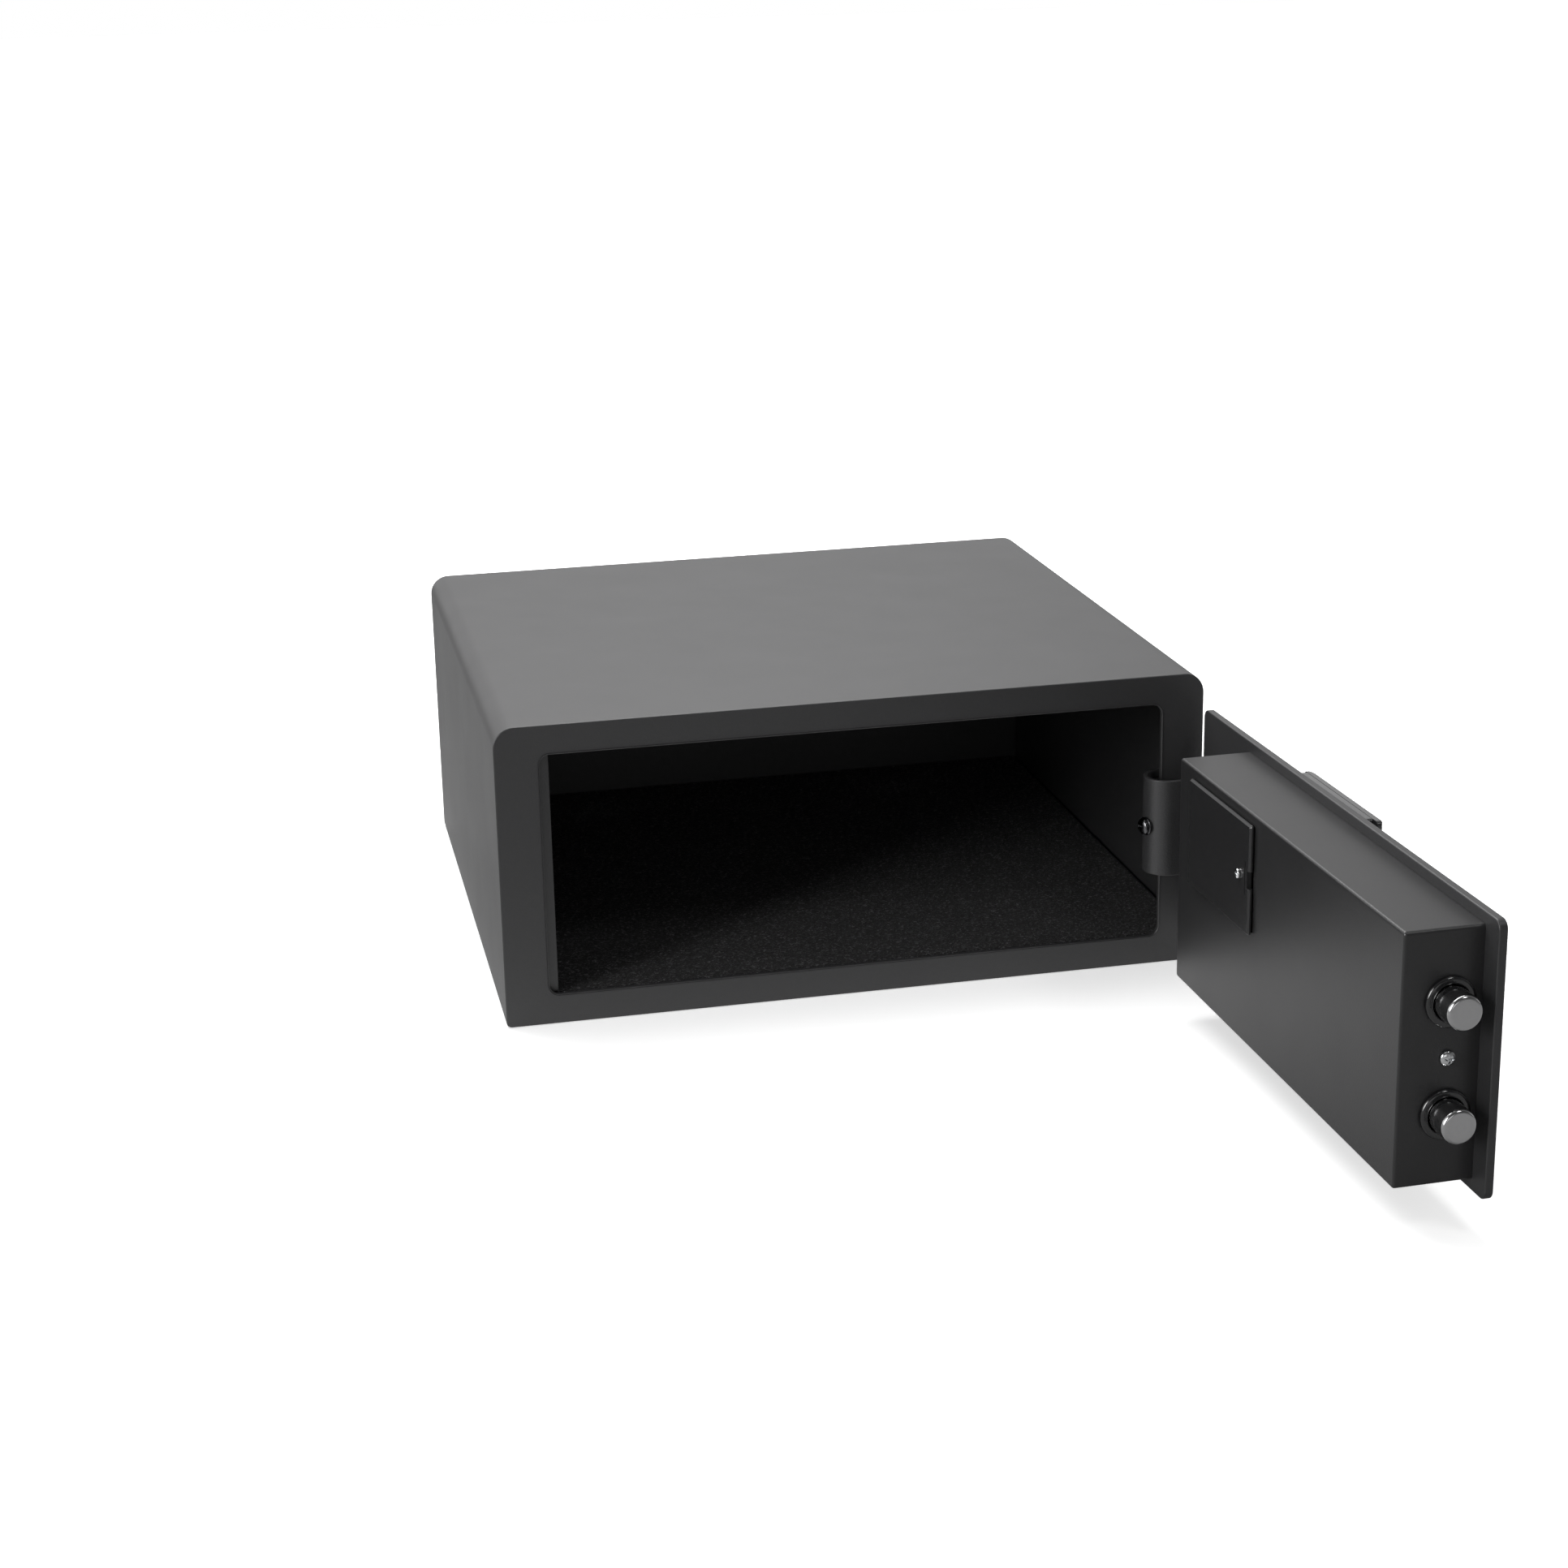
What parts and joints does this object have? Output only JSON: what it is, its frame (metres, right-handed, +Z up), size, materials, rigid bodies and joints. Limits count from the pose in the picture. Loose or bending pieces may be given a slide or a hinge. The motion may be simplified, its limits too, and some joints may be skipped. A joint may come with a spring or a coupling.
{
  "type": "laptop safe",
  "caption": "Low, wide electronic safe with an inset door standing open, round bolts thrown, keypad outside, battery lid inside and a lined floor.",
  "frame": {"origin": "middle of the flat underside of the carcass", "axes": "+X to the right along the front, +Y into the safe from the front, +Z up; at rest the door stands open 91 degrees, towards -Y"},
  "size_m": [0.4356, 0.7563, 0.18],
  "materials": {
    "powder_coat": "fine textured anthracite powder coat",
    "powder_coat_dark": "fine textured dark grey powder coat",
    "bright_steel": "turned and polished",
    "zinc_plate": "zinc plated, dull",
    "chrome_screw": "bright chrome",
    "black_bush": "glossy black acetal",
    "black_plastic": "fine satin texture",
    "grey_plastic": "satin",
    "carpet": "needle felt, black with grey specks",
    "smoked_window": "smoked and polished",
    "board": "green solder mask",
    "cell_sleeve": "plain shrink sleeve",
    "brass": "machined",
    "red_button": "moulded"
  },
  "bodies": {
    "carcass": {"body_shell": "powder_coat", "back_panel": "powder_coat", "false_floor": "powder_coat_dark", "floor_mat": "carpet", "strike_rail": "powder_coat", "hinge_lug_upper": "powder_coat", "hinge_lug_lower": "powder_coat", "hinge_pin": "zinc_plate"},
    "door": {"door_plate": "powder_coat", "hinge_strap": "powder_coat", "hinge_arm": "powder_coat_dark", "strap_screw": "chrome_screw", "bolt_housing": "powder_coat", "bolt_guide": "zinc_plate", "bolt_bush_upper": "black_bush", "bolt_bush_lower": "black_bush", "end_screw": "chrome_screw", "gear_motor": "zinc_plate", "battery_tray": "black_plastic", "battery_contacts_inner": "bright_steel", "battery_contacts_outer": "bright_steel", "battery_1": "cell_sleeve", "battery_2": "cell_sleeve", "battery_3": "cell_sleeve", "battery_4": "cell_sleeve", "circuit_board": "board", "keypad_base": "black_plastic", "keypad_fascia": "black_plastic", "display_window": "smoked_window", "lock_cylinder": "zinc_plate"},
    "bolt_carriage": {"bolt_carriage": "zinc_plate", "bolt_upper": "bright_steel", "bolt_lower": "bright_steel"},
    "drive_crank": {"drive_crank": "zinc_plate"},
    "battery_lid": {"battery_lid": "powder_coat_dark", "lid_screw": "chrome_screw"},
    "reset_button": {"reset_button": "red_button"},
    "lock_plug": {"lock_plug": "brass"},
    "lock_cover": {"lock_cover": "black_plastic"},
    "key_1": {"key_1": "grey_plastic"},
    "key_2": {"key_2": "grey_plastic"},
    "key_3": {"key_3": "grey_plastic"},
    "key_4": {"key_4": "grey_plastic"},
    "key_5": {"key_5": "grey_plastic"},
    "key_6": {"key_6": "grey_plastic"},
    "key_7": {"key_7": "grey_plastic"},
    "key_8": {"key_8": "grey_plastic"},
    "key_9": {"key_9": "grey_plastic"},
    "key_clear": {"key_clear": "grey_plastic"},
    "key_0": {"key_0": "grey_plastic"},
    "key_lock": {"key_lock": "grey_plastic"}
  },
  "joints": [
    {"name": "door_swing", "type": "hinge", "parent": "carcass", "child": "door", "pos_m": [0.20205, -0.1796, 0.09], "axis": [0, 0, 1], "range_deg": [-91.1, 3.9]},
    {"name": "crank_turn", "type": "hinge", "parent": "door", "child": "drive_crank", "pos_m": [0.19573, -0.47018, 0.09], "axis": [-0.9998, -0.0192, 0], "range_deg": [0, 180]},
    {"name": "bolt_slide", "type": "slide", "parent": "door", "child": "bolt_carriage", "axis": [-0.0192, 0.9998, 0], "range_m": [0, 0.012]},
    {"name": "lid_swing", "type": "hinge", "parent": "door", "child": "battery_lid", "pos_m": [0.16646, -0.2897, 0.11965], "axis": [0, 0, 1], "range_deg": [-80, 0]},
    {"name": "reset_press", "type": "slide", "parent": "door", "child": "reset_button", "axis": [0.9998, 0.0192, 0], "range_m": [0, 0.001], "stiffness_N_per_m": 300},
    {"name": "lock_turn", "type": "hinge", "parent": "door", "child": "lock_plug", "pos_m": [0.22301, -0.36483, 0.035], "axis": [-0.9998, -0.0192, 0], "range_deg": [0, 90]},
    {"name": "cover_swivel", "type": "hinge", "parent": "door", "child": "lock_cover", "pos_m": [0.22326, -0.37783, 0.035], "axis": [-0.9998, -0.0192, 0], "range_deg": [0, 90]},
    {"name": "key_1_press", "type": "slide", "parent": "door", "child": "key_1", "axis": [-0.9998, -0.0192, 0], "range_m": [0, 0.0012], "stiffness_N_per_m": 400},
    {"name": "key_2_press", "type": "slide", "parent": "door", "child": "key_2", "axis": [-0.9998, -0.0192, 0], "range_m": [0, 0.0012], "stiffness_N_per_m": 400},
    {"name": "key_3_press", "type": "slide", "parent": "door", "child": "key_3", "axis": [-0.9998, -0.0192, 0], "range_m": [0, 0.0012], "stiffness_N_per_m": 400},
    {"name": "key_4_press", "type": "slide", "parent": "door", "child": "key_4", "axis": [-0.9998, -0.0192, 0], "range_m": [0, 0.0012], "stiffness_N_per_m": 400},
    {"name": "key_5_press", "type": "slide", "parent": "door", "child": "key_5", "axis": [-0.9998, -0.0192, 0], "range_m": [0, 0.0012], "stiffness_N_per_m": 400},
    {"name": "key_6_press", "type": "slide", "parent": "door", "child": "key_6", "axis": [-0.9998, -0.0192, 0], "range_m": [0, 0.0012], "stiffness_N_per_m": 400},
    {"name": "key_7_press", "type": "slide", "parent": "door", "child": "key_7", "axis": [-0.9998, -0.0192, 0], "range_m": [0, 0.0012], "stiffness_N_per_m": 400},
    {"name": "key_8_press", "type": "slide", "parent": "door", "child": "key_8", "axis": [-0.9998, -0.0192, 0], "range_m": [0, 0.0012], "stiffness_N_per_m": 400},
    {"name": "key_9_press", "type": "slide", "parent": "door", "child": "key_9", "axis": [-0.9998, -0.0192, 0], "range_m": [0, 0.0012], "stiffness_N_per_m": 400},
    {"name": "key_clear_press", "type": "slide", "parent": "door", "child": "key_clear", "axis": [-0.9998, -0.0192, 0], "range_m": [0, 0.0012], "stiffness_N_per_m": 400},
    {"name": "key_0_press", "type": "slide", "parent": "door", "child": "key_0", "axis": [-0.9998, -0.0192, 0], "range_m": [0, 0.0012], "stiffness_N_per_m": 400},
    {"name": "key_lock_press", "type": "slide", "parent": "door", "child": "key_lock", "axis": [-0.9998, -0.0192, 0], "range_m": [0, 0.0012], "stiffness_N_per_m": 400}
  ],
  "couplings": [
    {"joint": "crank_turn", "follows": "bolt_slide", "rad_per_m": 261.8}
  ]
}
